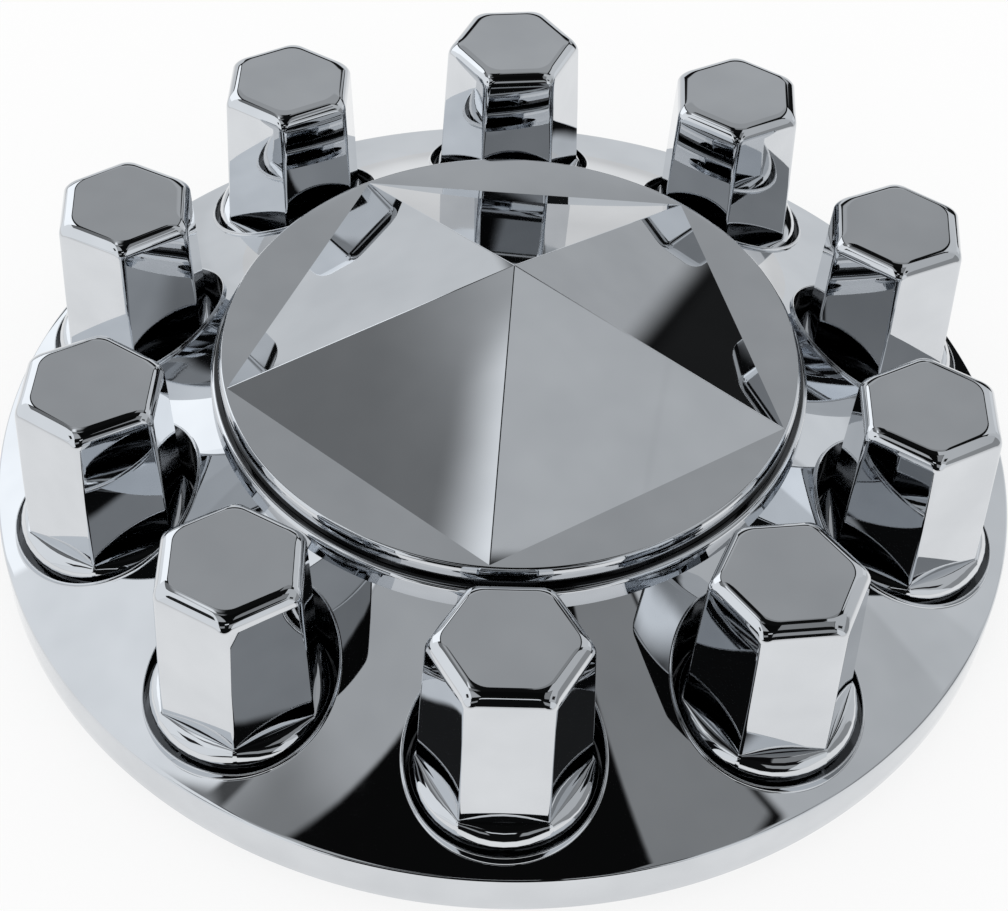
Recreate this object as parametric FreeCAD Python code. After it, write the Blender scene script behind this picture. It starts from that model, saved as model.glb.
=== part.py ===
import FreeCAD
import Part
import math
import os

# Chrome plated axle cover for a ten-stud truck wheel: a flared dish, a snap-in hub cap with a five-sided
# pyramid, and ten flanged hexagonal nut covers. Millimetres, +Z outward along the wheel's axis, origin at
# the centre of the skirt's bottom face.

# Wheel that the cover fits
stud_circle_d = 285.75
nut_count = 10
wheel_nut_corner_d = 38.1
nut_room = 0.95

# Nut covers
nut_cover_h = 68.0
nut_top_wall = 4.0
hex_wall = 2.0
hex_flare = 2.25
hex_corner_round = 1.6
hex_top_round = 4.5
flange_reach = 3.25
flange_h = 15.0
flange_lip_h = 3.0
flange_shoulder = 8.25
flange_bulge = 3.0
flange_wall = 3.75
flange_recess_h = 6.0
nut_turns = (0.0, 31.0, 28.0, 34.0, 29.0, 6.0, 27.0, 25.0, 28.0, 7.0)

# Dish
dish_wall = 3.0
skirt_h = 16.0
rim_land = 4.875
plate_rise = 35.0
flare_sag = 3.0
hub_land = 7.625
neck_h = 8.0
rim_round = 1.5

# Pockets that the nut covers stand in
pocket_clearance = 1.0
pocket_wall = 2.5
pocket_floor_rise = 4.0
pocket_floor_w = 8.25
lip_h = 2.0
collar_h = 1.5

# Hub cap
ledge_w = 3.0
cap_seat_w = 4.6
cap_rim_h = 7.5
cap_wall = 2.5
cap_round = 1.5
pyramid_sides = 5
pyramid_inset = 2.0
pyramid_h = 37.5
pyramid_turn = -3.6
ridge_cut = 0.5

# Snap skirt under the cap
snap_clearance = 0.2
snap_hook = 0.8
snap_play = 0.3
snap_taper_h = 3.0
snap_slots = 8
snap_slot_w = 4.0

# Places worked out from the dimensions above
HEX_SIDES = 6
stud_circle_r = stud_circle_d / 2
nut_bore_r = wheel_nut_corner_d / 2 + nut_room
hex_top_flat_r = nut_bore_r + hex_wall
hex_foot_flat_r = hex_top_flat_r + hex_flare
hex_foot_corner_r = hex_foot_flat_r / math.cos(math.pi / HEX_SIDES)
flange_r = hex_foot_corner_r + flange_reach
pocket_r = flange_r + pocket_clearance
rim_r = stud_circle_r + pocket_r + rim_land
neck_r = stud_circle_r - pocket_r - hub_land
cap_r = neck_r - ledge_w
neck_bore_r = cap_r - cap_seat_w
pocket_floor_z = skirt_h + pocket_floor_rise
neck_foot_z = skirt_h + plate_rise
neck_top_z = neck_foot_z + neck_h
cap_face_z = neck_top_z + cap_rim_h
apex_z = cap_face_z + pyramid_h
UP = FreeCAD.Vector(0, 0, 1)
ORIGIN = FreeCAD.Vector(0, 0, 0)


def at(r, z):
    """A point of a turned profile, in the plane of the axis."""
    return FreeCAD.Vector(r, 0, z)


def disc(radius, z_low, z_high, x=0.0, y=0.0):
    return Part.makeCylinder(radius, z_high - z_low, FreeCAD.Vector(x, y, z_low), UP)


def turned(edges):
    """Full turn of a closed profile about the wheel's axis."""
    return Part.Face(Part.Wire(edges)).revolve(ORIGIN, UP, 360)


def bulged(start, end, bulge):
    """Arc from start to end, with its middle off the chord by bulge, to the left of the way it runs."""
    chord = end - start
    side = FreeCAD.Vector(-chord.z, 0, chord.x).normalize()
    middle = (start + end) * 0.5 + side * bulge
    return Part.Arc(start, middle, end).toShape()


def polygon_ring(count, flat_r, z, turn_deg):
    """Closed regular polygon with a flat facing -Y at no turn."""
    corner_r = flat_r / math.cos(math.pi / count)
    points = []
    for i in range(count):
        angle = math.radians(turn_deg - 90 + 180 / count + 360 * i / count)
        points.append(FreeCAD.Vector(corner_r * math.cos(angle), corner_r * math.sin(angle), z))
    return Part.makePolygon(points + points[:1])


def nut_places():
    """Centres of the wheel nuts, clockwise from the one on -Y."""
    for i in range(nut_count):
        angle = math.radians(-90 - 360 * i / nut_count)
        yield stud_circle_r * math.cos(angle), stud_circle_r * math.sin(angle)


def dish_form(lift):
    """Solid under the dish's flared top face, with that face raised by lift."""
    rim = at(rim_r, skirt_h + lift)
    foot = at(neck_r, neck_foot_z + lift)
    edges = [
        Part.LineSegment(ORIGIN, at(rim_r, 0)).toShape(),
        Part.LineSegment(at(rim_r, 0), rim).toShape(),
        bulged(rim, foot, flare_sag),
        Part.LineSegment(foot, at(0, neck_foot_z + lift)).toShape(),
        Part.LineSegment(at(0, neck_foot_z + lift), ORIGIN).toShape(),
    ]
    return turned(edges)


def dish_shell():
    """Skirt, flared plate and neck as one wall, open below and at the cap's seat."""
    slope = plate_rise / (rim_r - neck_r)
    wall_drop = dish_wall * math.sqrt(1 + slope * slope)
    form = dish_form(0.0)
    raised_edges = [e for e in form.Edges if e.BoundBox.ZMin > skirt_h / 2]
    rim_edges = [e for e in raised_edges if e.BoundBox.XMax > rim_r - rim_round]
    form = form.makeFillet(rim_round, rim_edges)
    form = form.fuse(disc(neck_r, 0, neck_top_z)).removeSplitter()
    hollow = dish_form(-wall_drop).common(disc(rim_r - dish_wall, 0, neck_top_z))
    hollow = hollow.fuse(disc(neck_r - dish_wall, 0, neck_top_z - dish_wall))
    hollow = hollow.fuse(disc(neck_bore_r, 0, neck_top_z))
    return form.cut(hollow)


def pocket_cup(x, y):
    """Round cup sunk in the slope, with a lip that follows it and a low collar on the rim side."""
    cup_r = pocket_r + pocket_wall
    cup_foot_z = pocket_floor_z - dish_wall
    sunk = disc(cup_r, cup_foot_z, neck_top_z, x, y).common(dish_form(lip_h))
    collar = disc(cup_r, cup_foot_z, pocket_floor_z + collar_h, x, y)
    return sunk.fuse(collar).removeSplitter()


def pocket_cut(x, y):
    """The cup's inside, with the hole that the wheel nut comes through."""
    well = disc(pocket_r, pocket_floor_z, neck_top_z, x, y)
    hole = disc(pocket_r - pocket_floor_w, 0, neck_top_z, x, y)
    return well.fuse(hole)


def sector_wedge():
    """Upright wedge from the axis round the first pocket, one of nut_count equal shares of the dish."""
    reach = 2 * rim_r
    points = [ORIGIN]
    for side in (-1, 1):
        angle = math.radians(-90 + side * 180 / nut_count)
        points.append(FreeCAD.Vector(reach * math.cos(angle), reach * math.sin(angle), 0))
    return Part.Face(Part.makePolygon(points + points[:1])).extrude(UP * apex_z)


def dish_sector():
    """The dish's share round the first pocket; the whole dish is a ring of these, face to face."""
    x, y = next(nut_places())
    share = dish_shell().common(sector_wedge())
    return share.fuse(pocket_cup(x, y)).cut(pocket_cut(x, y)).removeSplitter()


def pyramid(flat_r, base_z, height, turn_deg):
    """Five-sided pyramid on a level base."""
    base = polygon_ring(pyramid_sides, flat_r, base_z, turn_deg)
    tip = Part.Vertex(0, 0, base_z + height)
    return Part.makeLoft([base, tip], True, True)


def cap_pyramid():
    """The cap's pyramid, with a narrow flat along each ridge."""
    corner_r = cap_r - pyramid_inset
    flat_r = corner_r * math.cos(math.pi / pyramid_sides)
    corner_turn = pyramid_turn + 180 / pyramid_sides
    trim_h = pyramid_h - ridge_cut
    trim_r = corner_r * trim_h / pyramid_h
    form = pyramid(flat_r, cap_face_z, pyramid_h, corner_turn)
    return form.common(pyramid(trim_r, cap_face_z, trim_h, pyramid_turn))


def cap_hollow(inner_r):
    """Space under the cap: a flat ceiling with the pyramid's own hollow above it."""
    corner_r = cap_r - pyramid_inset
    flat_r = corner_r * math.cos(math.pi / pyramid_sides)
    drop = cap_wall * math.sqrt(1 + (pyramid_h / flat_r) ** 2)
    ceiling_z = cap_face_z - cap_wall
    scale = (pyramid_h + cap_wall - drop) / pyramid_h
    corner_turn = pyramid_turn + 180 / pyramid_sides
    roof = pyramid(flat_r * scale, ceiling_z, pyramid_h * scale, corner_turn)
    bore = disc(inner_r, 0, apex_z)
    return disc(inner_r, 0, ceiling_z).fuse(roof.common(bore))


def snap_bead(skirt_r):
    """Hook round the snap skirt, caught under the neck's top wall."""
    catch_z = neck_top_z - dish_wall - snap_play
    edges = Part.makePolygon([
        at(skirt_r - snap_hook, catch_z),
        at(neck_bore_r + snap_hook, catch_z),
        at(skirt_r - snap_hook, catch_z - snap_taper_h),
        at(skirt_r - snap_hook, catch_z),
    ])
    return turned(edges.Edges)


def hub_cap():
    skirt_r = neck_bore_r - snap_clearance
    skirt_foot_z = neck_top_z - dish_wall - snap_play - snap_taper_h
    rim = disc(cap_r, neck_top_z, cap_face_z)
    top_edges = [e for e in rim.Edges if e.BoundBox.ZMin > cap_face_z - cap_round]
    rim = rim.makeFillet(cap_round, top_edges)
    form = rim.fuse(disc(skirt_r, skirt_foot_z, neck_top_z)).fuse(cap_pyramid())
    groove = disc(cap_r - cap_wall, neck_top_z, cap_face_z - cap_wall)
    groove = groove.cut(disc(skirt_r, neck_top_z, cap_face_z))
    form = form.fuse(snap_bead(skirt_r))
    form = form.cut(cap_hollow(skirt_r - cap_wall)).cut(groove)
    slots = []
    for i in range(snap_slots):
        slot = Part.makeBox(snap_slot_w, cap_r, neck_top_z - skirt_foot_z)
        slot.translate(FreeCAD.Vector(-snap_slot_w / 2, 0, skirt_foot_z))
        slot.rotate(ORIGIN, UP, 360 * i / snap_slots)
        slots.append(slot)
    return form.cut(Part.makeCompound(slots)).removeSplitter()


def nut_flange():
    """Convex rolled flange round the foot of a nut cover."""
    lip = at(flange_r, flange_lip_h)
    shoulder = at(flange_r - flange_shoulder, flange_h)
    edges = [
        Part.LineSegment(ORIGIN, at(flange_r, 0)).toShape(),
        Part.LineSegment(at(flange_r, 0), lip).toShape(),
        bulged(lip, shoulder, -flange_bulge),
        Part.LineSegment(shoulder, at(0, flange_h)).toShape(),
        Part.LineSegment(at(0, flange_h), ORIGIN).toShape(),
    ]
    return turned(edges)


def hex_body():
    """Tapered hexagon with rounded corners and a rolled edge round its level top."""
    foot = polygon_ring(HEX_SIDES, hex_foot_flat_r, 0, 0)
    top = polygon_ring(HEX_SIDES, hex_top_flat_r, nut_cover_h, 0)
    body = Part.makeLoft([foot, top], True, True)
    level = [e for e in body.Edges if e.BoundBox.ZMin > nut_cover_h / 2]
    body = body.makeFillet(hex_top_round, level)
    upright = [e for e in body.Edges if e.BoundBox.ZLength > nut_cover_h / 2]
    return body.makeFillet(hex_corner_round, upright)


def nut_cover():
    """One nut cover, standing on z = 0 on its own axis, hollow from below for the wheel nut."""
    body = hex_body().fuse(nut_flange())
    bore = disc(nut_bore_r, 0, nut_cover_h - nut_top_wall)
    recess = disc(flange_r - flange_wall, 0, flange_recess_h)
    return body.cut(bore.fuse(recess)).removeSplitter()


def save(shape, node):
    shape.exportStep("parts/" + node + ".step")
    print(node, shape.ShapeType, len(shape.Solids), shape.isValid(), round(shape.Volume, 1))


def main():
    os.makedirs("parts", exist_ok=True)
    save(hub_cap(), "hub_cap")
    sector = dish_sector()
    cover = nut_cover()
    for i, (x, y) in enumerate(nut_places()):
        share = sector.copy()
        share.rotate(ORIGIN, UP, -360 * i / nut_count)
        save(share, "dish_%02d" % (i + 1))
        placed = cover.copy()
        placed.rotate(ORIGIN, UP, nut_turns[i % len(nut_turns)])
        placed.translate(FreeCAD.Vector(x, y, pocket_floor_z))
        save(placed, "nut_cover_%02d" % (i + 1))


main()
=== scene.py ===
import math

import bmesh
import bpy
from mathutils import Matrix, Vector


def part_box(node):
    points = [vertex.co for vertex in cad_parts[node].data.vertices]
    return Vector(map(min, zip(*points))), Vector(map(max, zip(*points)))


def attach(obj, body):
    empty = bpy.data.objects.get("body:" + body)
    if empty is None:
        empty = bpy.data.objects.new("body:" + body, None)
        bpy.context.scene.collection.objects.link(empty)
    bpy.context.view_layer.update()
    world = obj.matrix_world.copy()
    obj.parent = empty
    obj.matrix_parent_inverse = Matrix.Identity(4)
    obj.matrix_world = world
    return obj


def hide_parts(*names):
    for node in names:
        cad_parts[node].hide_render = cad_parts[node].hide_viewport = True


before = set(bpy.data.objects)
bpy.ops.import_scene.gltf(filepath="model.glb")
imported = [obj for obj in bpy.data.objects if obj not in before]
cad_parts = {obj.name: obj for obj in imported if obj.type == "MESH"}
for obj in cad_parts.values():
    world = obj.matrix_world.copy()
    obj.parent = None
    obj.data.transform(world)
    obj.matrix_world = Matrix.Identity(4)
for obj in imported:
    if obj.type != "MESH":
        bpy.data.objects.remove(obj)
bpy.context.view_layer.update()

# Sizes in millimetres and turns in degrees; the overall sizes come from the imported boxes
MM = 0.001
NUT_NODES = sorted(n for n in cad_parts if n.startswith("nut_cover"))
DISH_NODES = sorted(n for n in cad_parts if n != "hub_cap" and n not in NUT_NODES)
RIM_R = max(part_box(n)[1].x for n in DISH_NODES) / MM
NECK_TOP_Z = max(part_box(n)[1].z for n in DISH_NODES) / MM
CAP_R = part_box("hub_cap")[1].x / MM
APEX_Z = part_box("hub_cap")[1].z / MM
NUT_FOOT_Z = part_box("nut_cover_01")[0].z / MM
NUT_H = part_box("nut_cover_01")[1].z / MM - NUT_FOOT_Z
NUT_COUNT = len(NUT_NODES)
STUD_CIRCLE_D = 285.75
STUD_R = STUD_CIRCLE_D / 2

# Dish
SKIRT_H = 16.0
NECK_R = 103.0
NECK_FOOT_Z = 51.0
NECK_BORE_R = 95.4
FLARE_SAG = 3.0
DISH_WALL = 3.0
RIM_ROUND = 1.5
EDGE_ROUND = 0.5

# Pockets, with slimmer lips than the solids have, as the photograph shows them
POCKET_R = 31.4
POCKET_WALL = 0.6
POCKET_HOLE_R = 24.0
LIP_H = 1.2
LIP_ROUND = 0.27
LIP_FOOT = 0.5
LIP_FOOT_KNEE = 0.3
LIP_BLEND = 1.2
COLLAR_H = 1.0

# Hub cap, whose edge rolls further down its side than the solid's
CAP_FACE_Z = 66.5
CAP_ROUND = 1.5
CAP_ROLL_H = 3.2
# Height of the painted shade band round the foot of the cap's side
CAP_SHADE_H = 2.6
CAP_WALL = 2.5
PYRAMID_SIDES = 5
PYRAMID_CORNER_R = 98.0
PYRAMID_TURN = -3.6
RIDGE_ROUND = 0.25
SNAP_R = 95.2
SNAP_BEAD_R = 96.2
SNAP_TAPER = 0.8
SNAP_CATCH_Z = 55.7
SNAP_FOOT_Z = 52.7
SNAP_SLOTS = 8

# Nut covers, with rounder edges and a slimmer flange than the solids, as the photograph shows them
HEX_SIDES = 6
HEX_TOP_FLAT_R = 22.0
HEX_FOOT_FLAT_R = 24.25
HEX_FOOT_CORNER_ROUND = 1.4
HEX_FOOT_CORNER_SHARE = 0.5
HEX_CORNER_ROUND = 3.2
HEX_TOP_CORNER_ROUND = 7.0
HEX_TOP_ROUND = 5.2
FLANGE_R = 29.7
FLANGE_H = 8.6
FLANGE_EDGE_Z = 3.2
FLANGE_TUCK = 0.1
FLANGE_TUCK_SHARE = 0.6
FLANGE_FOOT_R = 28.9
FLANGE_RECESS_R = 26.5
FLANGE_RECESS_H = 6.0
NUT_BORE_R = 20.0
NUT_TOP_WALL = 4.0
NUT_TURNS = (0.0, 31.0, 28.0, 34.0, 29.0, 6.0, 27.0, 25.0, 28.0, 7.0)

# The photograph's camera, found from the rims, the nut tops and the pyramid, with distances in metres
IMAGE_W = 1008
IMAGE_H = 911
CAM_ELEVATION = 46.72
CAM_AZIMUTH = 1.75
CAM_ROLL = 2.80
CAM_DISTANCE = 0.7532
CAM_AIM_Z = 0.030
CAM_FOCAL_PX = 2115.8
CAM_CENTRE_PX = (507.0, 417.4)
CAM_SENSOR_W = 36.0
CAM_CLIP_START = 0.05

# Places of the finishes in each piece's list
OUTSIDE, INSIDE, SHADE = range(3)


# Mesh helpers

WELD_M = 0.00002
SLIVER_M = 0.00001


def arc_through(start, end, bulge):
    """Centre and radius of the arc from start to end, its middle off the chord by bulge to the left."""
    chord_x = end[0] - start[0]
    chord_y = end[1] - start[1]
    half = math.hypot(chord_x, chord_y) / 2
    radius = (half * half + bulge * bulge) / (2 * abs(bulge))
    side = (-chord_y / (2 * half), chord_x / (2 * half))
    reach = math.copysign(radius - abs(bulge), bulge)
    middle = ((start[0] + end[0]) / 2, (start[1] + end[1]) / 2)
    return (middle[0] - side[0] * reach, middle[1] - side[1] * reach), radius


def corner_arc(centre_r, centre_z, radius, from_deg, to_deg, steps):
    """Points of a rounded edge in a turned profile."""
    points = []
    for i in range(steps + 1):
        angle = math.radians(from_deg + (to_deg - from_deg) * i / steps)
        points.append((centre_r + radius * math.cos(angle), centre_z + radius * math.sin(angle)))
    return points


def add_grid(bm, rows, closed=False, material=OUTSIDE):
    """Quads over rows of points in millimetres; each row has as many points."""
    made = [[bm.verts.new(Vector(p) * MM) for p in row] for row in rows]
    count = len(made)
    for i in range(count if closed else count - 1):
        row = made[i]
        following = made[(i + 1) % count]
        for j in range(len(row) - 1):
            face = bm.faces.new((row[j], row[j + 1], following[j + 1], following[j]))
            face.material_index = material
    return made


def finish_mesh(bm, name, sharp_deg=35.0):
    """Welds the parts, drops slivers, turns the faces outward and makes the object."""
    bmesh.ops.remove_doubles(bm, verts=bm.verts, dist=WELD_M)
    bmesh.ops.dissolve_degenerate(bm, edges=bm.edges, dist=SLIVER_M)
    bmesh.ops.recalc_face_normals(bm, faces=bm.faces)
    mesh = bpy.data.meshes.new(name)
    bm.to_mesh(mesh)
    bm.free()
    for polygon in mesh.polygons:
        polygon.use_smooth = True
    mesh.set_sharp_from_angle(angle=math.radians(sharp_deg))
    piece = bpy.data.objects.new(name, mesh)
    bpy.context.scene.collection.objects.link(piece)
    return piece


# Dish surface

PLATE_CENTRE, PLATE_RADIUS = arc_through((RIM_R, SKIRT_H), (NECK_R, NECK_FOOT_Z), FLARE_SAG)
PLATE_DROP = DISH_WALL * math.hypot(1, (NECK_FOOT_Z - SKIRT_H) / (RIM_R - NECK_R))
CUP_R = POCKET_R + POCKET_WALL
CUP_FOOT_Z = NUT_FOOT_Z - DISH_WALL
SECTOR = math.pi / NUT_COUNT
RIM_STEPS = 44
SIDE_STEPS = 28
NECK_STEPS = 24
PLATE_STEPS = 12
PLATE_CROWDING = 0.8
UNDER_STEPS = 4
LIP_STEPS = 5
POCKET_WALL_SHARES = (0.35, 0.7)
RIM_ROUND_STEPS = 6
NECK_ROUND_STEPS = 5
EDGE_STEPS = 3
SKIRT_SHARES = (0.6, 0.3)
ON_PLATE = 0.01
FACING_ALIKE = 0.7


def plate_z(r):
    """Height of the dish's flared top face at that distance from the axis."""
    off = min(abs(r - PLATE_CENTRE[0]), PLATE_RADIUS)
    return PLATE_CENTRE[1] - math.sqrt(PLATE_RADIUS ** 2 - off ** 2)


def lip_z(r):
    """Top of a pocket's lip: it follows the slope, and levels out into the collar on the rim side."""
    follow = plate_z(r) + LIP_H
    level = NUT_FOOT_Z + COLLAR_H
    return (follow + level + math.sqrt((follow - level) ** 2 + LIP_BLEND ** 2)) / 2


def sector_border():
    """Border points of one pocket's sector as (angle about the pocket, part, point), on the top face."""
    rim_r = RIM_R - RIM_ROUND
    corners = []
    for r, sign in ((rim_r, -1), (rim_r, 1), (NECK_R, 1), (NECK_R, -1)):
        x = sign * r * math.sin(SECTOR)
        y = -r * math.cos(SECTOR)
        corners.append(math.atan2(y + STUD_R, x))
    corners[3] = corners[3] % (2 * math.pi)
    corners.append(corners[0] + 2 * math.pi)
    parts = (("rim", RIM_STEPS), ("right", SIDE_STEPS), ("neck", NECK_STEPS), ("left", SIDE_STEPS))
    border = []
    for i, (part, steps) in enumerate(parts):
        for k in range(steps):
            angle = corners[i] + (corners[i + 1] - corners[i]) * k / steps
            border.append((angle, part, border_point(angle, part, rim_r)))
    return border


def border_point(angle, part, rim_r):
    """Where a ray from the pocket's centre leaves its sector."""
    ux = math.cos(angle)
    uy = math.sin(angle)
    along = -STUD_R * uy
    if part == "rim":
        reach = -along + math.sqrt(along ** 2 - STUD_R ** 2 + rim_r ** 2)
    elif part == "neck":
        reach = -along - math.sqrt(along ** 2 - STUD_R ** 2 + NECK_R ** 2)
    else:
        sign = 1 if part == "right" else -1
        vx = sign * math.sin(SECTOR)
        vy = -math.cos(SECTOR)
        reach = -STUD_R * vx / (ux * vy - uy * vx)
    return (reach * ux, -STUD_R + reach * uy)


def under_point(point, part):
    """The point of the dish's inner face that answers to a border point."""
    r = math.hypot(*point)
    if part == "rim":
        new_r = RIM_R - DISH_WALL
    elif part == "neck":
        new_r = NECK_R - DISH_WALL
    else:
        share = (r - NECK_R) / (RIM_R - RIM_ROUND - NECK_R)
        new_r = NECK_R - DISH_WALL + share * (RIM_R - NECK_R)
    return (point[0] * new_r / r, point[1] * new_r / r)


def pocket_path(angle, part, point):
    """Points from the sector's border over the plate, the lip and the pocket, and back under the plate."""
    ux = math.cos(angle)
    uy = math.sin(angle)

    def place(reach, height):
        x = reach * ux
        y = -STUD_R + reach * uy
        return (x, y, height(math.hypot(x, y)))

    foot = place(CUP_R + LIP_FOOT, plate_z)
    path = []
    for i in range(PLATE_STEPS):
        share = (i / PLATE_STEPS) ** PLATE_CROWDING
        x = point[0] + (foot[0] - point[0]) * share
        y = point[1] + (foot[1] - point[1]) * share
        path.append((x, y, plate_z(math.hypot(x, y))))
    path.append(foot)
    path.append(place(CUP_R + LIP_FOOT_KNEE * LIP_FOOT, lambda r: plate_z(r) + LIP_FOOT_KNEE * LIP_FOOT))
    path.append(place(CUP_R, lambda r: plate_z(r) + LIP_FOOT))
    for r, z in corner_arc(CUP_R - LIP_ROUND, -LIP_ROUND, LIP_ROUND, 0, 90, LIP_STEPS):
        path.append(place(r, lambda q, z=z: lip_z(q) + z))
    for r, z in corner_arc(POCKET_R + LIP_ROUND, -LIP_ROUND, LIP_ROUND, 90, 180, LIP_STEPS):
        path.append(place(r, lambda q, z=z: lip_z(q) + z))
    wall_top = path[-1][2]
    lip_count = len(path)
    for share in POCKET_WALL_SHARES:
        path.append(place(POCKET_R, lambda q, s=share: wall_top + (NUT_FOOT_Z - wall_top) * s))
    path.append(place(POCKET_R, lambda q: NUT_FOOT_Z + EDGE_ROUND / 2))
    path.append(place(POCKET_R - EDGE_ROUND, lambda q: NUT_FOOT_Z))
    path.append(place(POCKET_HOLE_R + EDGE_ROUND, lambda q: NUT_FOOT_Z))
    path.append(place(POCKET_HOLE_R, lambda q: NUT_FOOT_Z - EDGE_ROUND))
    top_count = len(path)

    def cup_bottom(r):
        return min(CUP_FOOT_Z, plate_z(r) - PLATE_DROP)

    path.append(place(POCKET_HOLE_R, cup_bottom))
    path.append(place((POCKET_HOLE_R + CUP_R) / 2, cup_bottom))
    path.append(place(CUP_R - EDGE_ROUND, cup_bottom))
    path.append(place(CUP_R, lambda r: min(CUP_FOOT_Z + EDGE_ROUND, plate_z(r) - PLATE_DROP)))
    inner_foot = place(CUP_R, lambda r: plate_z(r) - PLATE_DROP)
    path.append(inner_foot)
    end = under_point(point, part)
    for i in range(1, UNDER_STEPS + 1):
        x = inner_foot[0] + (end[0] - inner_foot[0]) * i / UNDER_STEPS
        y = inner_foot[1] + (end[1] - inner_foot[1]) * i / UNDER_STEPS
        path.append((x, y, plate_z(math.hypot(x, y)) - PLATE_DROP))
    return path, lip_count, top_count


def rim_profile():
    """The rim's rounded edge, the skirt and its inside, from the plate to the inner face."""
    start_r = RIM_R - RIM_ROUND
    start_z = plate_z(start_r)
    tilt = math.degrees(math.asin((PLATE_CENTRE[0] - start_r) / PLATE_RADIUS))
    centre_z = start_z - RIM_ROUND * math.cos(math.radians(tilt))
    inner_r = RIM_R - DISH_WALL
    profile = [(start_r, start_z)]
    profile += corner_arc(start_r, centre_z, RIM_ROUND, 90 - tilt, 0, RIM_ROUND_STEPS)[1:]
    profile += [(RIM_R, SKIRT_H * share) for share in SKIRT_SHARES]
    profile += corner_arc(RIM_R - EDGE_ROUND, EDGE_ROUND, EDGE_ROUND, 0, -90, EDGE_STEPS)
    profile += corner_arc(inner_r + EDGE_ROUND, EDGE_ROUND, EDGE_ROUND, -90, -180, EDGE_STEPS)
    profile.append((inner_r, plate_z(inner_r) - PLATE_DROP))
    return profile


def neck_profile():
    """The neck's foot and wall, and apart from them the cap's ledge and bore, down to the inner face."""
    inner_r = NECK_R - DISH_WALL
    wall = [(NECK_R, NECK_FOOT_Z), (NECK_R, NECK_FOOT_Z + EDGE_ROUND)]
    wall += corner_arc(NECK_R - RIM_ROUND, NECK_TOP_Z - RIM_ROUND, RIM_ROUND, 0, 90, NECK_ROUND_STEPS)
    ledge = [wall[-1], (NECK_BORE_R, NECK_TOP_Z), (NECK_BORE_R, NECK_TOP_Z - DISH_WALL)]
    ledge += [(inner_r, NECK_TOP_Z - DISH_WALL), (inner_r, plate_z(inner_r) - PLATE_DROP)]
    return wall, ledge


def turned_strip(points, profile):
    """Rows of a turned profile at the directions of the given points."""
    rows = []
    for x, y in points:
        r = math.hypot(x, y)
        rows.append([(x / r * pr, y / r * pr, pz) for pr, pz in profile])
    return rows


def smooth_plate(mesh):
    """Gives the flared top face the normals of its true form, so that reflections run over it evenly."""
    normals = [corner.vector.copy() for corner in mesh.corner_normals]
    for loop in mesh.loops:
        co = mesh.vertices[loop.vertex_index].co / MM
        r = math.hypot(co.x, co.y)
        on_ring = NECK_R - ON_PLATE < r < RIM_R - RIM_ROUND + ON_PLATE
        if on_ring and abs(co.z - plate_z(r)) < ON_PLATE:
            lean = (PLATE_CENTRE[0] - r) / PLATE_RADIUS
            true = Vector((co.x / r * lean, co.y / r * lean, (PLATE_CENTRE[1] - co.z) / PLATE_RADIUS))
            if true.dot(normals[loop.index]) > FACING_ALIKE:
                normals[loop.index] = true
    mesh.normals_split_custom_set(normals)


def make_dish():
    """One pocket's sector of the dish, repeated round the axis and welded."""
    border = sector_border()
    paths = [pocket_path(*entry) for entry in border]
    tops = [path[:lip_count] for path, lip_count, _ in paths]
    grooves = [path[lip_count - 1:top_count] for path, lip_count, top_count in paths]
    unders = [path[top_count - 1:] for path, _, top_count in paths]
    rim_points = [p for _, part, p in border if part == "rim"]
    rim_points.append(next(p for _, part, p in border if part == "right"))
    neck_points = [p for _, part, p in border if part == "neck"]
    neck_points.append(next(p for _, part, p in border if part == "left"))
    wall, ledge = neck_profile()
    bm = bmesh.new()
    for i in range(NUT_COUNT):
        sector = bmesh.new()
        add_grid(sector, tops, closed=True)
        # Painted shade: the pockets' walls and floors take the dark plate
        add_grid(sector, grooves, closed=True, material=SHADE)
        add_grid(sector, unders, closed=True, material=INSIDE)
        add_grid(sector, turned_strip(rim_points, rim_profile()))
        add_grid(sector, turned_strip(neck_points, wall))
        # Painted shade: the ledge and bore under the cap take the dark plate
        add_grid(sector, turned_strip(neck_points, ledge), material=SHADE)
        sector.transform(Matrix.Rotation(-2 * SECTOR * i, 4, "Z"))
        mesh = bpy.data.meshes.new("sector")
        sector.to_mesh(mesh)
        sector.free()
        bm.from_mesh(mesh)
        bpy.data.meshes.remove(mesh)
    dish = finish_mesh(bm, "dish_surface")
    smooth_plate(dish.data)
    return dish


# Hub cap surface

CAP_STEPS = 360
CAP_ROUND_STEPS = 10
CAP_SHARP_DEG = 20.0
RIDGE_SEGMENTS = 2
ROOF_STEPS = 12
SNAP_SLOT_STEPS = 3


def cap_azimuth(index):
    """Direction of one of the cap's steps round the axis."""
    return math.radians(-90 + PYRAMID_TURN + 360 * index / CAP_STEPS)


def pyramid_top(bm):
    """Five facets with rounded ridges; returns the loop round their foot."""
    apex = bm.verts.new(Vector((0, 0, APEX_Z)) * MM)
    corners = []
    for i in range(PYRAMID_SIDES):
        angle = cap_azimuth(i * CAP_STEPS / PYRAMID_SIDES)
        x = PYRAMID_CORNER_R * math.cos(angle)
        y = PYRAMID_CORNER_R * math.sin(angle)
        corners.append(bm.verts.new(Vector((x, y, CAP_FACE_Z)) * MM))
    for i in range(PYRAMID_SIDES):
        bm.faces.new((apex, corners[i], corners[(i + 1) % PYRAMID_SIDES]))
    ridges = [e for e in bm.edges if apex in e.verts]
    bmesh.ops.bevel(bm, geom=ridges, offset=RIDGE_ROUND * MM, offset_type="OFFSET", segments=RIDGE_SEGMENTS,
                    profile=0.5, affect="EDGES", clamp_overlap=True)
    foot = [e for e in bm.edges if len(e.link_faces) == 1]
    for edge in foot:
        for vert in edge.verts:
            vert.co.z = CAP_FACE_Z * MM
    return foot


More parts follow.
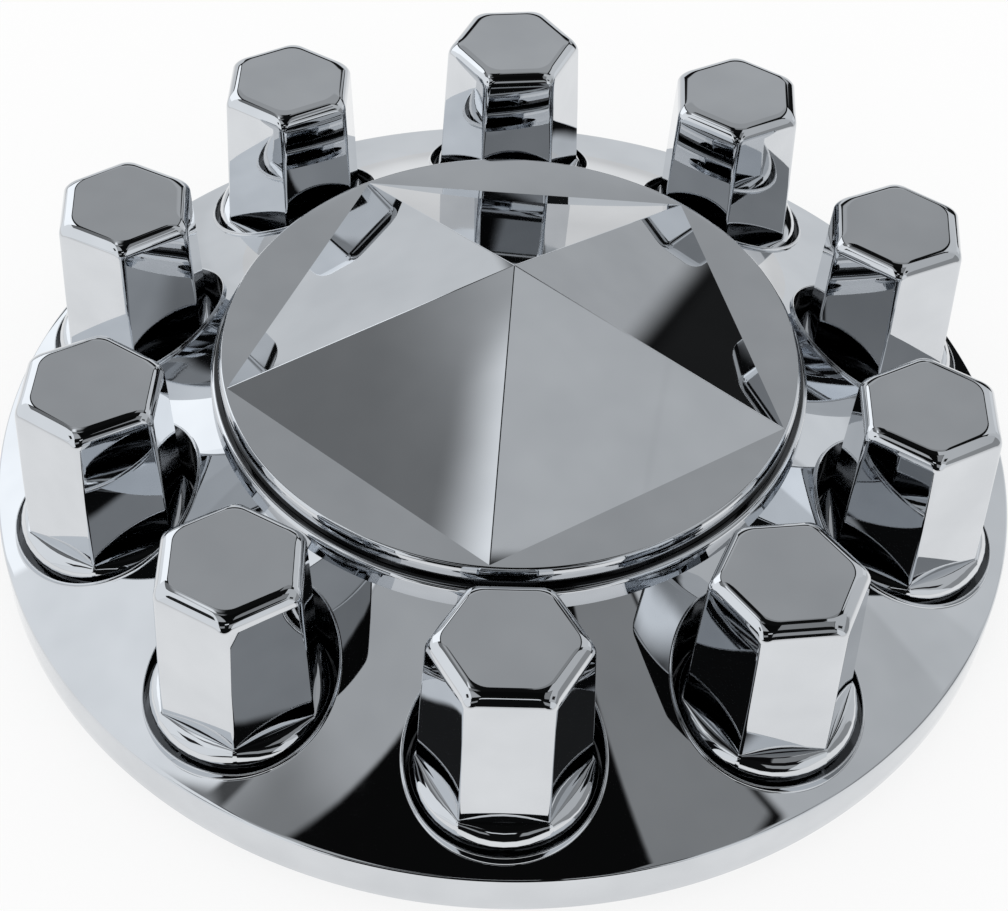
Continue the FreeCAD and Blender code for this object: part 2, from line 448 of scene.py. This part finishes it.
def cap_rim_profile():
    """The cap's rounded edge, side band and foot, then the groove and snap skirt, up to the hollow's wall."""
    inner_r = SNAP_R - CAP_WALL
    groove_r = CAP_R - CAP_WALL
    ceiling_z = CAP_FACE_Z - CAP_WALL
    profile = corner_arc(CAP_R - CAP_ROUND, CAP_FACE_Z - CAP_ROUND, CAP_ROUND, 90, 0, CAP_ROUND_STEPS)
    profile = [(r, CAP_FACE_Z - (CAP_FACE_Z - z) * CAP_ROLL_H / CAP_ROUND) for r, z in profile]
    profile += [(CAP_R, NECK_TOP_Z + CAP_SHADE_H), (CAP_R, NECK_TOP_Z + EDGE_ROUND)]
    profile += [(CAP_R - EDGE_ROUND, NECK_TOP_Z), (groove_r, NECK_TOP_Z), (groove_r, ceiling_z)]
    profile += [(SNAP_R, ceiling_z), (SNAP_R, SNAP_CATCH_Z), (SNAP_BEAD_R, SNAP_CATCH_Z)]
    profile += [(SNAP_R - SNAP_TAPER, SNAP_FOOT_Z), (inner_r, SNAP_FOOT_Z)]
    return profile


def roof_z(angle, r):
    """Height of the hollow's roof: the pyramid's inside where that is above the flat ceiling."""
    flat_r = PYRAMID_CORNER_R * math.cos(math.pi / PYRAMID_SIDES)
    slope = (APEX_Z - CAP_FACE_Z) / flat_r
    step = 2 * math.pi / PYRAMID_SIDES
    off = (angle - cap_azimuth(0)) % step - step / 2
    top = APEX_Z - CAP_WALL * math.hypot(1, slope)
    return max(CAP_FACE_Z - CAP_WALL, top - slope * r * math.cos(off))


def make_cap():
    """Pyramid, rim and slotted snap skirt in one skin, with the hollow below."""
    bm = bmesh.new()
    foot = pyramid_top(bm)
    profile = cap_rim_profile()
    inner_r = SNAP_R - CAP_WALL
    slot_every = CAP_STEPS // SNAP_SLOTS
    rows = []
    roofs = []
    for i in range(CAP_STEPS):
        angle = cap_azimuth(i)
        lowest = NECK_TOP_Z if i % slot_every < SNAP_SLOT_STEPS else 0.0
        path = [(r, max(z, lowest)) for r, z in profile]
        rows.append([(r * math.cos(angle), r * math.sin(angle), z) for r, z in path])
        roof = [(inner_r, path[-1][1])]
        for k in range(ROOF_STEPS, -1, -1):
            r = inner_r * k / ROOF_STEPS
            roof.append((r, roof_z(angle, r)))
        roofs.append([(r * math.cos(angle), r * math.sin(angle), z) for r, z in roof])
    made = add_grid(bm, rows, closed=True)
    # Painted shade: faces round the foot of the cap's side take the dark plate
    for face in bm.faces:
        middle = face.calc_center_median() / MM
        near_foot = NECK_TOP_Z < middle.z < NECK_TOP_Z + CAP_SHADE_H
        if near_foot and math.hypot(middle.x, middle.y) > CAP_R - EDGE_ROUND:
            face.material_index = SHADE
    add_grid(bm, roofs, closed=True, material=INSIDE)
    ring = [bm.edges.get((made[i][0], made[(i + 1) % CAP_STEPS][0])) for i in range(CAP_STEPS)]
    bmesh.ops.triangle_fill(bm, edges=foot + ring, use_beauty=True, use_dissolve=False, normal=(0, 0, 1))
    return finish_mesh(bm, "hub_cap_surface", sharp_deg=CAP_SHARP_DEG)


# Nut cover surface

HEX_FLAT_STEPS = 8
HEX_CORNER_STEPS = 8
HEX_ROLL_STEPS = 10
BODY_STEPS = 10
DOME_STEPS = 16
NUT_SHARP_DEG = 32.0


def hex_ring(flat_r, corner_round):
    """Points of a hexagon with rounded corners, a flat facing -Y first."""
    points = []
    corner_r = (flat_r - corner_round) / math.cos(math.pi / HEX_SIDES)
    half = corner_r / 2
    for i in range(HEX_SIDES):
        turn = math.radians(-90 + 360 / HEX_SIDES * i)
        out = (math.cos(turn), math.sin(turn))
        along = (-out[1], out[0])
        for k in range(HEX_FLAT_STEPS):
            s = half * (2 * k / HEX_FLAT_STEPS - 1)
            points.append((out[0] * flat_r + along[0] * s, out[1] * flat_r + along[1] * s))
        centre = turn + math.radians(180 / HEX_SIDES)
        for k in range(HEX_CORNER_STEPS):
            angle = turn + math.radians(360 / HEX_SIDES) * k / HEX_CORNER_STEPS
            points.append((corner_r * math.cos(centre) + corner_round * math.cos(angle),
                           corner_r * math.sin(centre) + corner_round * math.sin(angle)))
    return points


def hex_flat_r(z):
    """The tapered hexagon's half width across its flats at that height."""
    return HEX_FOOT_FLAT_R + (HEX_TOP_FLAT_R - HEX_FOOT_FLAT_R) * z / NUT_H


def hex_rings():
    """Level rings of the hexagon from its top's edge down to its foot on the flange, as (height, points)."""
    roll_z = NUT_H - HEX_TOP_ROUND
    rings = []
    for i in range(HEX_ROLL_STEPS + 1):
        angle = math.radians(90 - 90 * i / HEX_ROLL_STEPS)
        share = math.sin(angle)
        flat_r = hex_flat_r(roll_z) - HEX_TOP_ROUND * (1 - math.cos(angle))
        corner = HEX_CORNER_ROUND + (HEX_TOP_CORNER_ROUND - HEX_CORNER_ROUND) * share
        rings.append((roll_z + HEX_TOP_ROUND * share, hex_ring(flat_r, corner)))
    for i in range(1, BODY_STEPS + 1):
        share = i / BODY_STEPS
        z = roll_z + (FLANGE_H - roll_z) * share
        sharpened = min(1.0, share / HEX_FOOT_CORNER_SHARE)
        corner = HEX_CORNER_ROUND + (HEX_FOOT_CORNER_ROUND - HEX_CORNER_ROUND) * sharpened
        rings.append((z, hex_ring(hex_flat_r(z), corner)))
    return rings


def flange_line(x, y):
    """The flange's rolled top from one point of the hexagon's foot out to its round edge."""
    r = math.hypot(x, y)
    line = []
    for k in range(1, DOME_STEPS + 1):
        angle = math.pi / 2 * k / DOME_STEPS
        line.append((r + (FLANGE_R - r) * math.sin(angle),
                     FLANGE_EDGE_Z + (FLANGE_H - FLANGE_EDGE_Z) * math.cos(angle)))
    line += [(FLANGE_R - FLANGE_TUCK, FLANGE_EDGE_Z * FLANGE_TUCK_SHARE), (FLANGE_FOOT_R, 0.0)]
    return [(x / r * reach, y / r * reach, z) for reach, z in line]


def nut_rows():
    """Lines from the top's edge down the hexagon and over the flange, and others up the bore."""
    rings = hex_rings()
    bore_top = NUT_H - NUT_TOP_WALL
    hollow = ((FLANGE_FOOT_R, 0.0), (FLANGE_RECESS_R, 0.0), (FLANGE_RECESS_R, FLANGE_RECESS_H),
              (NUT_BORE_R, FLANGE_RECESS_H), (NUT_BORE_R, bore_top), (0.0, bore_top))
    outside = []
    inside = []
    for index in range(len(rings[0][1])):
        line = [(*points[index], z) for z, points in rings]
        x, y = line[-1][:2]
        r = math.hypot(x, y)
        outside.append(line + flange_line(x, y))
        inside.append([(x / r * reach, y / r * reach, z) for reach, z in hollow])
    return outside, inside


def make_nut_mesh():
    """The mesh of one nut cover, standing on its own axis."""
    outside, inside = nut_rows()
    bm = bmesh.new()
    made = add_grid(bm, outside, closed=True)
    bm.faces.new([row[0] for row in made])
    add_grid(bm, inside, closed=True, material=INSIDE)
    piece = finish_mesh(bm, "nut_cover_pattern", sharp_deg=NUT_SHARP_DEG)
    mesh = piece.data
    bpy.data.objects.remove(piece)
    return mesh


# Finishes: colours of the dark and light clouds, least and most roughness, and depths of bumps in metres

DISH_COLOURS = ((0.62, 0.64, 0.665), (0.69, 0.71, 0.735))
NUT_COLOURS = ((0.63, 0.65, 0.675), (0.70, 0.72, 0.745))
INSIDE_COLOURS = ((0.40, 0.41, 0.42), (0.52, 0.53, 0.54))
# Painted shade: near-black plate colours for the pockets' grooves, the neck's ledge and bore, and the cap's
# foot
PAINTED_SHADE_COLOURS = ((0.07, 0.072, 0.075), (0.13, 0.133, 0.138))
CHROME_ROUGHNESS = (0.01, 0.035)
INSIDE_ROUGHNESS = (0.28, 0.42)
PAINTED_SHADE_ROUGHNESS = (0.06, 0.14)
DISH_WAVE = 0.00003
CAP_WAVE = 0.00005
NUT_WAVE = 0.00035
INSIDE_GRAIN = 0.0002


def nodes_of(material):
    """The material's emptied node tree."""
    material.use_nodes = True
    tree = material.node_tree
    tree.nodes.clear()
    return tree


def link(tree, source, target):
    tree.links.new(source, target)


def noise(tree, coordinates, scale, detail, roughness=0.55):
    node = tree.nodes.new("ShaderNodeTexNoise")
    node.inputs["Scale"].default_value = scale
    node.inputs["Detail"].default_value = detail
    node.inputs["Roughness"].default_value = roughness
    link(tree, coordinates, node.inputs["Vector"])
    return node.outputs["Fac"]


def ramp(tree, value, dark, light, low, high):
    """Value from low to high becomes a colour from dark to light."""
    node = tree.nodes.new("ShaderNodeValToRGB")
    node.color_ramp.elements[0].position = low
    node.color_ramp.elements[0].color = (*dark, 1)
    node.color_ramp.elements[1].position = high
    node.color_ramp.elements[1].color = (*light, 1)
    link(tree, value, node.inputs["Fac"])
    return node.outputs["Color"]


def remap(tree, value, to_low, to_high, low, high, smooth=False):
    """Value from low to high becomes a number from to_low to to_high."""
    node = tree.nodes.new("ShaderNodeMapRange")
    if smooth:
        node.interpolation_type = "SMOOTHSTEP"
    for name, number in (("From Min", low), ("From Max", high), ("To Min", to_low), ("To Max", to_high)):
        node.inputs[name].default_value = number
    link(tree, value, node.inputs["Value"])
    return node.outputs["Result"]


def math_node(tree, operation, *values):
    """The operation's result on numbers and other nodes' outputs."""
    node = tree.nodes.new("ShaderNodeMath")
    node.operation = operation
    for socket, value in zip(node.inputs, values):
        if isinstance(value, (int, float)):
            socket.default_value = value
        else:
            link(tree, value, socket)
    return node.outputs[0]


def metal(name):
    """A metal with nothing on it yet: the material, its tree, its shader and the piece's own coordinates."""
    material = bpy.data.materials.new(name)
    tree = nodes_of(material)
    out = tree.nodes.new("ShaderNodeOutputMaterial")
    shader = tree.nodes.new("ShaderNodeBsdfPrincipled")
    shader.inputs["Metallic"].default_value = 1.0
    link(tree, shader.outputs["BSDF"], out.inputs["Surface"])
    coordinates = tree.nodes.new("ShaderNodeTexCoord").outputs["Object"]
    return material, tree, shader, coordinates


def add_bump(tree, shader, height, strength, distance):
    bump = tree.nodes.new("ShaderNodeBump")
    bump.inputs["Strength"].default_value = strength
    bump.inputs["Distance"].default_value = distance
    link(tree, height, bump.inputs["Height"])
    link(tree, bump.outputs["Normal"], shader.inputs["Normal"])


def chrome(name, colours, wave):
    """Bright plate over moulded plastic: faint clouding, wiping haze, and the mould's slow waves."""
    material, tree, shader, coordinates = metal(name)
    clouds = noise(tree, coordinates, scale=38.0, detail=2.0)
    link(tree, ramp(tree, clouds, *colours, low=0.3, high=0.75), shader.inputs["Base Color"])
    haze = noise(tree, coordinates, scale=120.0, detail=3.0, roughness=0.65)
    link(tree, remap(tree, haze, *CHROME_ROUGHNESS, low=0.35, high=0.75), shader.inputs["Roughness"])
    waves = noise(tree, coordinates, scale=22.0, detail=1.0, roughness=0.3)
    add_bump(tree, shader, waves, strength=1.0, distance=wave)
    return material


def plated_inside():
    """The unpolished inner faces: the same plate over a matt moulding, grey and satin."""
    material, tree, shader, coordinates = metal("plated_inside")
    grain = noise(tree, coordinates, scale=900.0, detail=5.0)
    clouds = noise(tree, coordinates, scale=30.0, detail=3.0)
    link(tree, ramp(tree, clouds, *INSIDE_COLOURS, low=0.3, high=0.7), shader.inputs["Base Color"])
    link(tree, remap(tree, grain, *INSIDE_ROUGHNESS, low=0.3, high=0.7), shader.inputs["Roughness"])
    add_bump(tree, shader, grain, strength=0.25, distance=INSIDE_GRAIN)
    return material


def painted_shade_plate():
    """Painted shade: a near-black plate laid in the pockets and under the cap's edge, where shade falls."""
    material, tree, shader, coordinates = metal("painted_shade_plate")
    clouds = noise(tree, coordinates, scale=60.0, detail=3.0)
    link(tree, ramp(tree, clouds, *PAINTED_SHADE_COLOURS, low=0.3, high=0.7), shader.inputs["Base Color"])
    link(tree, remap(tree, clouds, *PAINTED_SHADE_ROUGHNESS, low=0.3, high=0.7), shader.inputs["Roughness"])
    return material


# Studio floor, in metres: it glows less in reflections from its near to its far distance

FLOOR_SIZE = 12
FLOOR_DROP = 0.0002
FLOOR_PAPER = (0.96, 0.96, 0.96, 1)
FLOOR_GLOW_SHARE = 0.75
FLOOR_NEAR = 0.30
FLOOR_FAR = 0.6
FLOOR_NEAR_GLOW = 1.0
FLOOR_FAR_GLOW = 0.70
WHITE = (1, 1, 1, 1)


def make_floor():
    """Pale floor that reads white to the camera and in reflections, and keeps the soft shadow."""
    bpy.ops.mesh.primitive_plane_add(size=FLOOR_SIZE, location=(0, 0, -FLOOR_DROP))
    floor = bpy.context.object
    floor.name = "studio_floor"
    material = bpy.data.materials.new("floor_paper")
    tree = nodes_of(material)
    out = tree.nodes.new("ShaderNodeOutputMaterial")
    diffuse = tree.nodes.new("ShaderNodeBsdfDiffuse")
    diffuse.inputs["Color"].default_value = FLOOR_PAPER
    glow = tree.nodes.new("ShaderNodeEmission")
    glow.inputs["Color"].default_value = WHITE
    path = tree.nodes.new("ShaderNodeLightPath")
    seen = math_node(tree, "MAXIMUM", path.outputs["Is Camera Ray"], path.outputs["Is Glossy Ray"])
    mix = tree.nodes.new("ShaderNodeMixShader")
    link(tree, math_node(tree, "MULTIPLY", seen, FLOOR_GLOW_SHARE), mix.inputs["Fac"])
    place = tree.nodes.new("ShaderNodeTexCoord").outputs["Object"]
    reach = tree.nodes.new("ShaderNodeVectorMath")
    reach.operation = "LENGTH"
    link(tree, place, reach.inputs[0])
    far = remap(tree, reach.outputs["Value"], FLOOR_NEAR_GLOW, FLOOR_FAR_GLOW, low=FLOOR_NEAR, high=FLOOR_FAR,
                smooth=True)
    link(tree, math_node(tree, "MAXIMUM", far, path.outputs["Is Camera Ray"]), glow.inputs["Strength"])
    link(tree, diffuse.outputs["BSDF"], mix.inputs[1])
    link(tree, glow.outputs["Emission"], mix.inputs[2])
    link(tree, mix.outputs["Shader"], out.inputs["Surface"])
    material.cycles.emission_sampling = "NONE"
    floor.data.materials.append(material)


def make_world():
    """Even white light from all sides."""
    world = bpy.data.worlds.new("studio_world")
    bpy.context.scene.world = world
    world.use_nodes = True
    background = world.node_tree.nodes["Background"]
    background.inputs["Color"].default_value = WHITE
    background.inputs["Strength"].default_value = 1.0


# Studio tent: each cloth's brightness, softness and counterclockwise corners, in degrees from overhead

TENT_RADIUS = 800.0
TENT_DARK = 0.006
TENT_TINT = (0.95, 0.975, 1.0, 1)
TENT_TILTS = 45
TENT_TURNS = 120
OVERHEAD_LEVEL = 0.00001
TENT_CLOTHS = (
    # Behind, low down
    (0.80, 1.5, ((-95, 69), (95, 69), (95, 95), (-95, 95))),
    (0.76, 0.7, ((-70, 58), (-27, 61), (-27, 75), (-70, 75))),
    (0.50, 1.2, ((27, 60), (39, 53), (41.5, 62), (27, 71))),
    (0.015, 1.0, ((40.5, 52), (48, 52), (48, 62), (42.5, 62))),
    # Behind, higher up
    (0.30, 1.0, ((3, 10), (27, 10), (27, 19), (3, 19))),
    (0.41, 0.5, ((-27, 18), (27, 18), (27, 57), (-27, 57))),
    (0.50, 2.0, ((-27, 49), (27, 49), (27, 57), (-27, 57))),
    # On the left
    (1.00, 0.6, ((-95, -40), (-28, -40), (-28, -7.5), (-40.5, 5.5), (-95, 9))),
    (1.00, 0.6, ((-95, 3), (-40, 3), (-40, 57), (-95, 57))),
    (1.38, 0.6, ((-62, 21), (-31, 21), (-31, 57), (-62, 57))),
    # On the right
    (0.33, 1.0, ((59, -44), (95, -44), (95, 7), (59, 7))),
    (0.66, 0.6, ((40, 6), (95, 6), (95, 50), (40, 50))),
    (0.85, 0.8, ((55, 24), (75, 24), (75, 50), (55, 50))),
    (0.72, 0.6, ((32, 16), (60, 16), (60, 50), (32, 50))),
    (0.58, 0.6, ((29.5, -44), (60, -44), (60, 9), (29.5, 9))),
    # Round overhead
    (0.58, 0.5, ((19, -9), (30, -7), (30, 9), (19, 9))),
    (0.27, 0.45, ((16, -36), (28.7, -36), (28.7, -8.3), (16, -10.5))),
    (0.48, 0.45, ((-28, -36), (-5, -36), (-20.4, -9.5), (-27.6, -6.3), (-28, -7))),
    (0.26, 3.5, ((-26.5, -15), (-10, -15), (-10, -5), (-26.5, -5))),
    (0.08, 0.4, ((-28.4, -14), (-26.6, -14), (-26.6, -5.5), (-28.4, -5.5))),
    (0.004, 0.45, ((-20.4, -10), (-5.4, -36), (16, -36), (16, -10))),
    (0.20, 0.8, ((-39.5, 6.5), (-27.5, -6.5), (-20, -6.5), (-20, 18), (-39.5, 18))),
    (0.50, 5.0, ((-26, 2), (-15, 2), (-15, 18), (-26, 18))),
    (1.10, 1.9, ((-28.4, -6), (-21, -6), (-21, 7), (-24.3, 6))),
    # Two dark ones to the front
    (0.02, 0.6, ((-48, -36), (-37, -36), (-37, -24), (-48, -24))),
    (0.02, 0.6, ((37, -35), (50, -35), (50, -24), (37, -24))),
    # In front, low down
    (0.95, 1.0, ((-95, -75), (-34, -75), (-30, -40), (-95, -40))),
    (0.85, 1.0, ((34, -75), (95, -75), (95, -44), (34, -44))),
    (0.36, 0.6, ((13, -67), (34, -67), (34, -52), (11, -52))),
    (0.33, 0.6, ((-34, -62), (-8, -62), (-8, -54), (-34, -54))),
    (0.95, 0.5, ((-7, -49.5), (7, -49.5), (7, -45.5), (-7, -45.5))),
)


def tent_place(tree):
    """Degrees from overhead to the right and to the back, with 1 as the third number."""
    vector = tree.nodes.new("ShaderNodeVectorMath")
    vector.operation = "NORMALIZE"
    link(tree, tree.nodes.new("ShaderNodeTexCoord").outputs["Object"], vector.inputs[0])
    split = tree.nodes.new("ShaderNodeSeparateXYZ")
    link(tree, vector.outputs["Vector"], split.inputs[0])
    tilt = math_node(tree, "ARCCOSINE", split.outputs["Z"])
    level = math_node(tree, "MAXIMUM", math_node(tree, "SINE", tilt), OVERHEAD_LEVEL)
    share = math_node(tree, "DIVIDE", math_node(tree, "DEGREES", tilt), level)
    place = tree.nodes.new("ShaderNodeCombineXYZ")
    link(tree, math_node(tree, "MULTIPLY", split.outputs["X"], share), place.inputs["X"])
    link(tree, math_node(tree, "MULTIPLY", split.outputs["Y"], share), place.inputs["Y"])
    place.inputs["Z"].default_value = 1.0
    return place.outputs["Vector"]


def cloth_weight(tree, place, soft, corners):
    """1 inside the cloth and 0 outside it, with soft edges."""
    weight = None
    for (x, y), (next_x, next_y) in zip(corners, corners[1:] + corners[:1]):
        length = math.hypot(next_x - x, next_y - y)
        across = -(next_y - y) / length
        along = (next_x - x) / length
        inside = tree.nodes.new("ShaderNodeVectorMath")
        inside.operation = "DOT_PRODUCT"
        link(tree, place, inside.inputs[0])
        inside.inputs[1].default_value = (across, along, -across * x - along * y)
        share = remap(tree, inside.outputs["Value"], 0.0, 1.0, low=-soft, high=soft, smooth=True)
        weight = share if weight is None else math_node(tree, "MULTIPLY", weight, share)
    return weight


def tent_finish():
    """The cloths laid over one another in their order, each as bright as it is written."""
    material = bpy.data.materials.new("tent_cloths")
    tree = nodes_of(material)
    out = tree.nodes.new("ShaderNodeOutputMaterial")
    shine = tree.nodes.new("ShaderNodeEmission")
    shine.inputs["Color"].default_value = TENT_TINT
    place = tent_place(tree)
    glow = TENT_DARK
    for brightness, soft, corners in TENT_CLOTHS:
        weight = cloth_weight(tree, place, soft, corners)
        change = math_node(tree, "SUBTRACT", brightness, glow)
        glow = math_node(tree, "MULTIPLY_ADD", change, weight, glow)
    link(tree, glow, shine.inputs["Strength"])
    link(tree, shine.outputs["Emission"], out.inputs["Surface"])
    material.cycles.emission_sampling = "NONE"
    return material


def make_tent():
    """Studio tent of pale and dark cloths round the object, seen only in its reflections."""
    bm = bmesh.new()
    rows = []
    for i in range(TENT_TURNS):
        turn = 2 * math.pi * i / TENT_TURNS
        row = []
        for k in range(TENT_TILTS + 1):
            tilt = math.pi / 2 * k / TENT_TILTS
            level = TENT_RADIUS * math.sin(tilt)
            row.append((level * math.cos(turn), level * math.sin(turn), TENT_RADIUS * math.cos(tilt)))
        rows.append(row)
    add_grid(bm, rows, closed=True)
    tent = finish_mesh(bm, "studio_tent")
    tent.visible_camera = False
    tent.visible_diffuse = False
    tent.visible_shadow = False
    tent.visible_transmission = False
    tent.data.materials.append(tent_finish())


def make_camera():
    """The photograph's viewpoint, with its roll and the centre of its picture."""
    elevation = math.radians(CAM_ELEVATION)
    azimuth = math.radians(-CAM_AZIMUTH)
    turn = Matrix.Rotation(azimuth, 3, "Z")
    back = turn @ Vector((0, -math.cos(elevation), math.sin(elevation)))
    right = turn @ Vector((1, 0, 0))
    up = back.cross(right)
    roll = math.radians(CAM_ROLL)
    rolled_right = right * math.cos(roll) + up * math.sin(roll)
    rolled_up = up * math.cos(roll) - right * math.sin(roll)
    data = bpy.data.cameras.new("photo_camera")
    data.sensor_fit = "HORIZONTAL"
    data.sensor_width = CAM_SENSOR_W
    data.lens = CAM_FOCAL_PX / IMAGE_W * data.sensor_width
    data.shift_x = (IMAGE_W / 2 - CAM_CENTRE_PX[0]) / IMAGE_W
    data.shift_y = (CAM_CENTRE_PX[1] - IMAGE_H / 2) / IMAGE_W
    data.clip_start = CAM_CLIP_START
    camera = bpy.data.objects.new("photo_camera", data)
    bpy.context.scene.collection.objects.link(camera)
    basis = Matrix((rolled_right, rolled_up, back)).transposed().to_4x4()
    basis.translation = back * CAM_DISTANCE + Vector((0, 0, CAM_AIM_Z))
    camera.matrix_world = basis
    bpy.context.scene.camera = camera


# Assembly

BOUNCES = 8
DIFFUSE_BOUNCES = 2


def place_piece(piece, nodes, finishes):
    """Gives the piece its finishes and puts it in the place of its nodes."""
    if not piece.data.has_custom_normals:
        weigh = piece.modifiers.new("even_normals", "WEIGHTED_NORMAL")
        weigh.keep_sharp = True
    for finish in finishes:
        piece.data.materials.append(finish)
    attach(piece, "root")
    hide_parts(*nodes)


def place_nut_covers(finishes):
    """Ten covers from one mesh, clockwise from the front, each at its own turn."""
    pattern = make_nut_mesh()
    for i, node in enumerate(NUT_NODES):
        angle = -math.pi / 2 - 2 * SECTOR * i
        mesh = pattern.copy()
        centre = Vector((STUD_R * math.cos(angle), STUD_R * math.sin(angle), NUT_FOOT_Z)) * MM
        mesh.transform(Matrix.Translation(centre) @ Matrix.Rotation(math.radians(NUT_TURNS[i]), 4, "Z"))
        piece = bpy.data.objects.new(node + "_surface", mesh)
        bpy.context.scene.collection.objects.link(piece)
        place_piece(piece, [node], finishes)
    bpy.data.meshes.remove(pattern)


def main():
    scene = bpy.context.scene
    scene.view_settings.view_transform = "Standard"
    scene.cycles.max_bounces = BOUNCES
    scene.cycles.glossy_bounces = BOUNCES
    scene.cycles.diffuse_bounces = DIFFUSE_BOUNCES
    inside = plated_inside()
    dish_finish = chrome("dish_chrome", DISH_COLOURS, DISH_WAVE)
    cap_finish = chrome("cap_chrome", DISH_COLOURS, CAP_WAVE)
    nut_finish = chrome("nut_chrome", NUT_COLOURS, NUT_WAVE)
    # Painted shade for the pockets' grooves, the neck's ledge and bore, and the cap's foot
    shade = painted_shade_plate()
    place_piece(make_dish(), DISH_NODES, (dish_finish, inside, shade))
    place_piece(make_cap(), ["hub_cap"], (cap_finish, inside, shade))
    place_nut_covers((nut_finish, inside))
    make_floor()
    make_world()
    make_tent()
    make_camera()


main()
